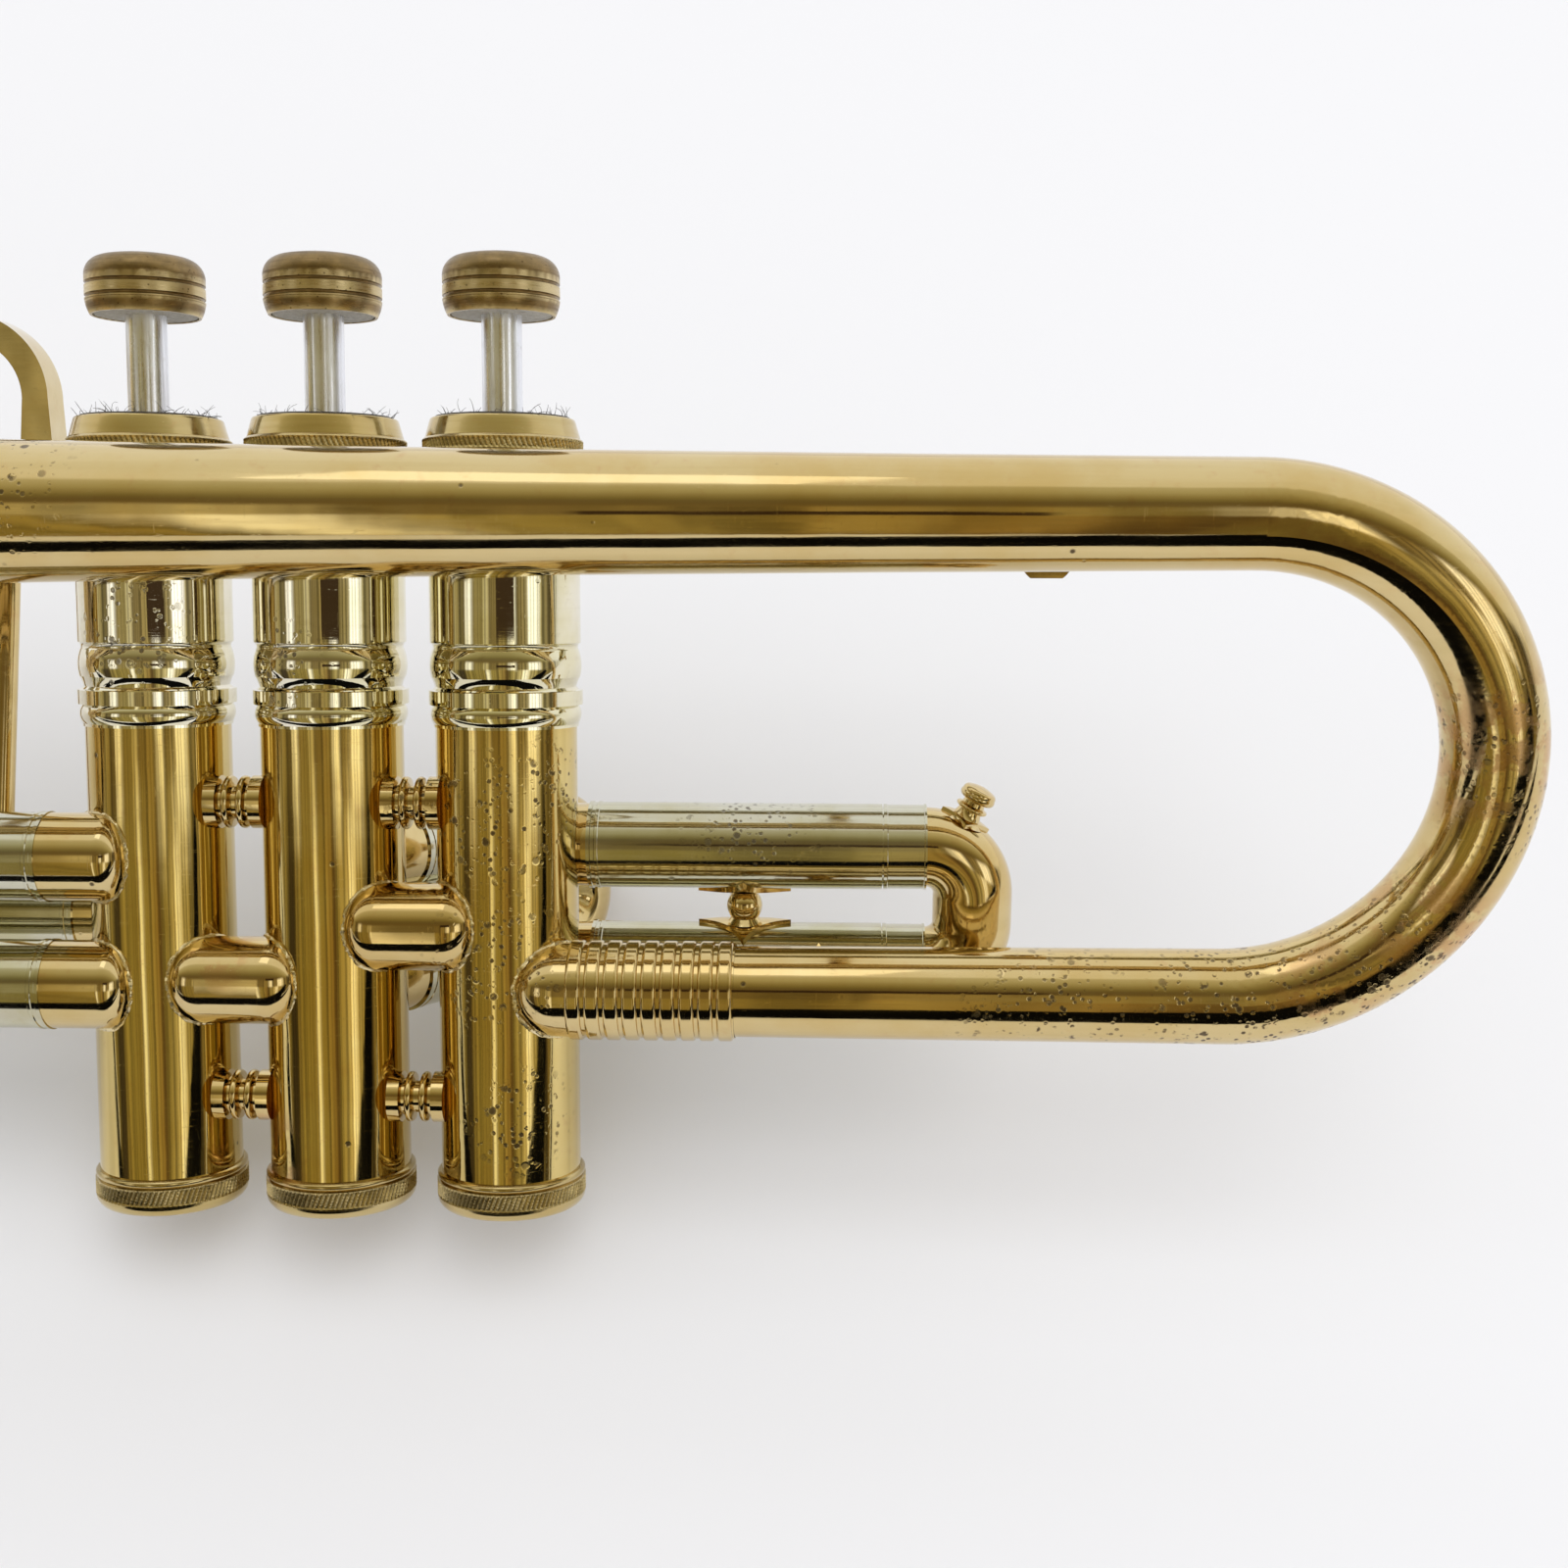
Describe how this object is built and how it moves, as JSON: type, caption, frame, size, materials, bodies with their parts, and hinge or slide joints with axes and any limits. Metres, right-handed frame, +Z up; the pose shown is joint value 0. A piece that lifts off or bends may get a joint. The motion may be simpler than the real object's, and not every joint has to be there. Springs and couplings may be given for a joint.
{
  "type": "flugelhorn",
  "caption": "Brass wind instrument with piston valves, a wide flared bell, pull slides, a sliding mouthpipe and a water key, lying at rest on its side.",
  "frame": {"origin": "centre of the bounding box on the ground, with the horn lying on its bell rim, front valve cap and second slide knob", "axes": "+X runs along the horn from the bell mouth back towards the player, +Z up from the ground; the valves lean back from the -Y side, buttons towards +Y and up"},
  "size_m": [0.4766, 0.16, 0.1621],
  "materials": {
    "lacquered_brass": "glossy aged lacquer",
    "worn_brass": "dull, lacquer worn off",
    "nickel_silver": "polished, lightly tarnished",
    "piston_monel": "lapped",
    "felt": "fuzzy",
    "cork": "matt",
    "spring_bronze": "bright wire"
  },
  "bodies": {
    "horn": {"bell_flare": "lacquered_brass", "bell_throat": "lacquered_brass", "bell_bow": "lacquered_brass", "bell_tail": "lacquered_brass", "ribbed_ferrule": "lacquered_brass", "port_knuckles": "lacquered_brass", "crossover_3_to_2": "lacquered_brass", "crossover_2_to_1": "lacquered_brass", "valve_braces": "lacquered_brass", "valve_casing_1": "lacquered_brass", "valve_casing_2": "lacquered_brass", "valve_casing_3": "lacquered_brass", "slide_stays": "lacquered_brass", "bell_stays": "lacquered_brass", "mouthpipe_clamp": "lacquered_brass", "top_cap_1": "worn_brass", "top_cap_2": "worn_brass", "top_cap_3": "worn_brass", "bottom_cap_1": "worn_brass", "bottom_cap_2": "worn_brass", "bottom_cap_3": "worn_brass", "finger_hook": "worn_brass", "valve_baluster_1": "nickel_silver", "valve_baluster_2": "nickel_silver", "valve_baluster_3": "nickel_silver", "first_slide_sleeves": "nickel_silver", "second_slide_sleeves": "nickel_silver", "third_slide_sleeves": "nickel_silver", "main_slide_sleeves": "nickel_silver", "mouthpipe_sleeve": "nickel_silver", "valve_guides": "nickel_silver", "top_cap_felts": "felt", "valve_springs": "spring_bronze"},
    "valve_1": {"piston_1": "piston_monel", "valve_stem_1": "nickel_silver", "finger_button_1": "worn_brass", "button_felt_1": "felt"},
    "valve_2": {"piston_2": "piston_monel", "valve_stem_2": "nickel_silver", "finger_button_2": "worn_brass", "button_felt_2": "felt"},
    "valve_3": {"piston_3": "piston_monel", "valve_stem_3": "nickel_silver", "finger_button_3": "worn_brass", "button_felt_3": "felt"},
    "first_slide": {"first_slide_tubes": "nickel_silver", "first_slide_bow": "lacquered_brass", "first_slide_knob": "lacquered_brass"},
    "second_slide": {"second_slide_tubes": "nickel_silver", "second_slide_bow": "lacquered_brass"},
    "third_slide": {"third_slide_tubes": "nickel_silver", "third_slide_bow": "lacquered_brass", "third_slide_knob": "lacquered_brass"},
    "main_slide": {"main_slide_tubes": "nickel_silver", "main_slide_bow": "lacquered_brass"},
    "water_key": {"water_key_lever": "lacquered_brass", "water_key_cork": "cork"},
    "mouthpipe": {"mouthpipe": "nickel_silver", "mouthpiece_receiver": "nickel_silver"},
    "clamp_screw": {"clamp_screw": "lacquered_brass"}
  },
  "joints": [
    {"name": "valve_1_press", "type": "slide", "parent": "horn", "child": "valve_1", "axis": [0.0345, -0.6787, -0.7336], "range_m": [0, 0.0135], "stiffness_N_per_m": 150, "springref_m": -0.012, "deforming": ["valve_springs"]},
    {"name": "valve_2_press", "type": "slide", "parent": "horn", "child": "valve_2", "axis": [0.0345, -0.6787, -0.7336], "range_m": [0, 0.0135], "stiffness_N_per_m": 150, "springref_m": -0.012, "deforming": ["valve_springs"]},
    {"name": "valve_3_press", "type": "slide", "parent": "horn", "child": "valve_3", "axis": [0.0345, -0.6787, -0.7336], "range_m": [0, 0.0135], "stiffness_N_per_m": 150, "springref_m": -0.012, "deforming": ["valve_springs"]},
    {"name": "first_slide_pull", "type": "slide", "parent": "horn", "child": "first_slide", "axis": [0.9989, 0, 0.0469], "range_m": [0, 0.03]},
    {"name": "second_slide_pull", "type": "slide", "parent": "horn", "child": "second_slide", "axis": [0.5418, 0.6295, -0.5569], "range_m": [0, 0.016]},
    {"name": "third_slide_pull", "type": "slide", "parent": "horn", "child": "third_slide", "axis": [-0.9989, 0, -0.0469], "range_m": [0, 0.06]},
    {"name": "main_slide_pull", "type": "slide", "parent": "horn", "child": "main_slide", "axis": [-0.9989, 0, -0.0469], "range_m": [0, 0.04]},
    {"name": "water_key_press", "type": "hinge", "parent": "main_slide", "child": "water_key", "pos_m": [-0.08276, -0.02473, 0.02091], "axis": [-0.0367, -0.6247, 0.78], "range_deg": [0, 15], "stiffness_Nm_per_rad": 0.05, "springref_deg": -28.65},
    {"name": "mouthpipe_pull", "type": "slide", "parent": "horn", "child": "mouthpipe", "axis": [0.9989, 0, 0.0469], "range_m": [-0.006, 0.02]},
    {"name": "clamp_screw_turn", "type": "hinge", "parent": "horn", "child": "clamp_screw", "pos_m": [0.17623, 0.03638, 0.06979], "axis": [-0.0345, 0.6787, 0.7336], "range_deg": [0, 180]}
  ]
}
